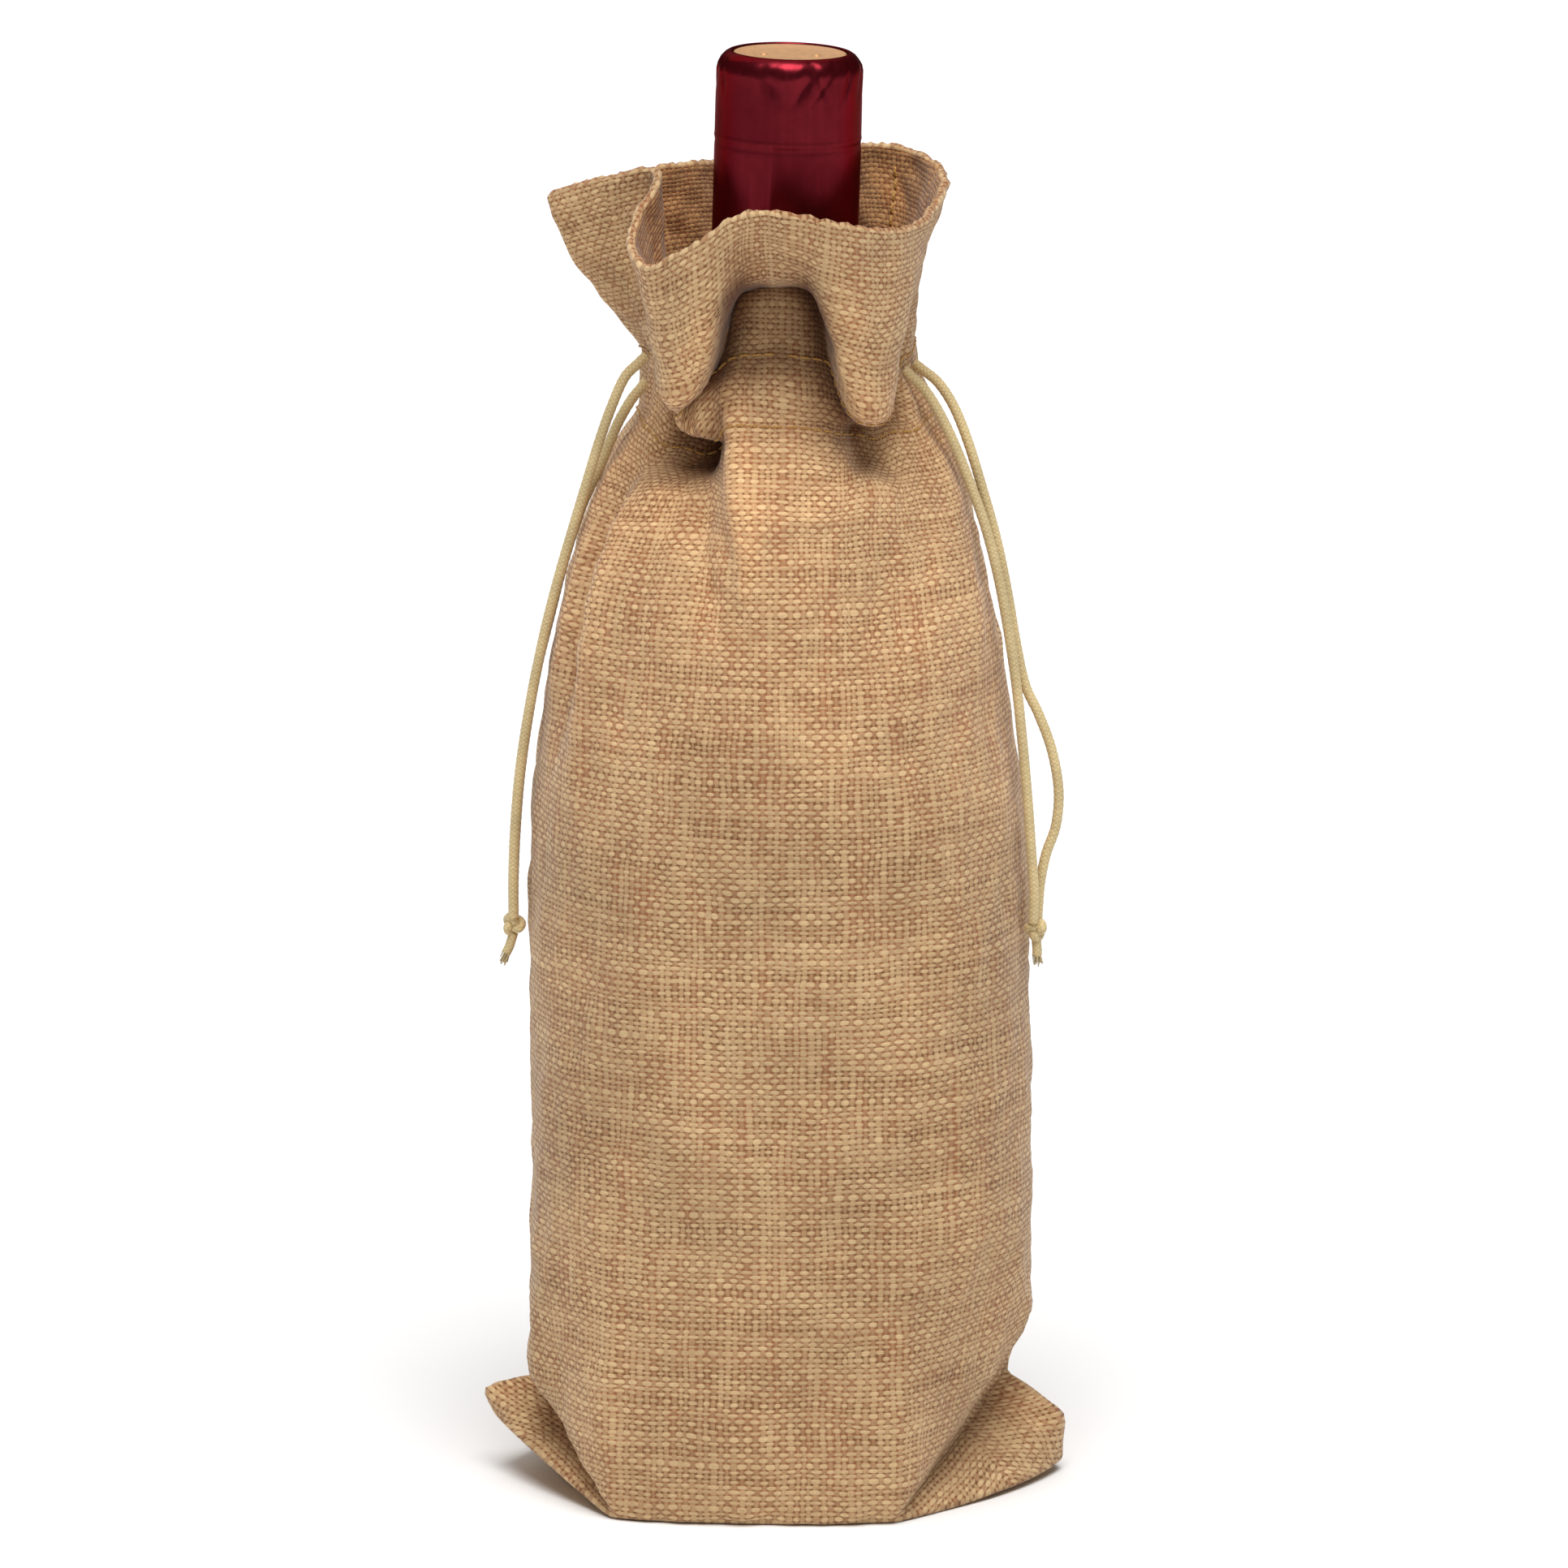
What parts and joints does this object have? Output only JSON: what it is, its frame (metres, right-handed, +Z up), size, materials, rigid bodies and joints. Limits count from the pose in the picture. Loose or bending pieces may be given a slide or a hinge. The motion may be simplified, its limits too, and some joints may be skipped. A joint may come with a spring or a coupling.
{
  "type": "jute wine bag with bottle",
  "caption": "Drawstring jute cloth bag gathered round the neck of a standing wine bottle, with corded ties knotted at both sides.",
  "frame": {"origin": "centre of the bag's flat base, on the ground", "axes": "+Z up along the bag, -Y towards its front, +X to the right of someone who faces the front"},
  "size_m": [0.1228, 0.0862, 0.3034],
  "materials": {
    "jute_cloth": "matt plain weave, slubby",
    "drawcord": "matt braided cream cord",
    "bottle_glass": "gloss dark green glass, full of wine so that it is not seen through",
    "foil": "satin wine-red foil",
    "gold_disc": "satin gold"
  },
  "bodies": {
    "root": {"bag_cloth": "jute_cloth", "bottle": "bottle_glass", "capsule": "foil", "capsule_top": "gold_disc", "cord_left_front": "drawcord", "cord_left_back": "drawcord", "cord_right_inner": "drawcord", "cord_right_outer": "drawcord", "tail_left": "drawcord", "tail_right": "drawcord", "knot_left": "drawcord", "knot_right": "drawcord"}
  },
  "joints": []
}
